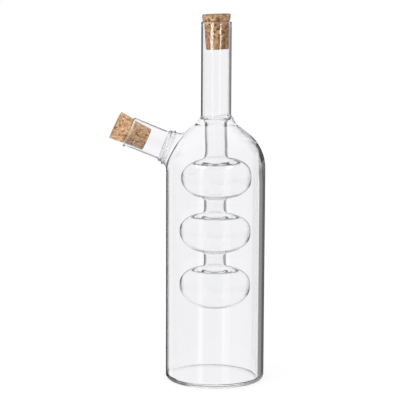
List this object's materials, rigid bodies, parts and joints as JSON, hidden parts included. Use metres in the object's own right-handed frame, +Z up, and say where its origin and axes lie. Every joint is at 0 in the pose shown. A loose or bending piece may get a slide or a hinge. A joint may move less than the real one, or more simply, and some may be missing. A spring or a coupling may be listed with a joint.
{
  "type": "oil and vinegar bottle",
  "caption": "Clear glass cruet: a cylindrical bottle with a slanted side spout and an inner vessel of squashed bulbs hung from its neck; a cork closes each mouth",
  "frame": {"origin": "centre of the base, on the surface the bottle stands on", "axes": "+Z up along the bottle's axis, -X towards the side spout, +Y away from the viewer of the picture"},
  "size_m": [0.1098, 0.07, 0.2601],
  "materials": {
    "clear_glass": "clear borosilicate glass, smooth and fire-polished",
    "natural_cork": "dry pressed cork, matt and speckled"
  },
  "bodies": {
    "glass": {"outer_bottle": "clear_glass", "neck_ring_seal": "clear_glass", "neck_tube": "clear_glass", "inner_stem": "clear_glass", "upper_bulb": "clear_glass", "upper_link": "clear_glass", "middle_bulb": "clear_glass", "lower_link": "clear_glass", "lower_bulb": "clear_glass", "spout_weld_ring": "clear_glass", "spout_tube": "clear_glass"},
    "neck_cork": {"neck_cork": "natural_cork"},
    "spout_cork": {"spout_cork": "natural_cork"}
  },
  "joints": [
    {"name": "neck_cork_pull", "type": "slide", "parent": "glass", "child": "neck_cork", "axis": [0, 0, 1], "range_m": [0, 0.025]},
    {"name": "spout_cork_pull", "type": "slide", "parent": "glass", "child": "spout_cork", "axis": [-0.9252, 0, 0.3795], "range_m": [0, 0.02]}
  ]
}
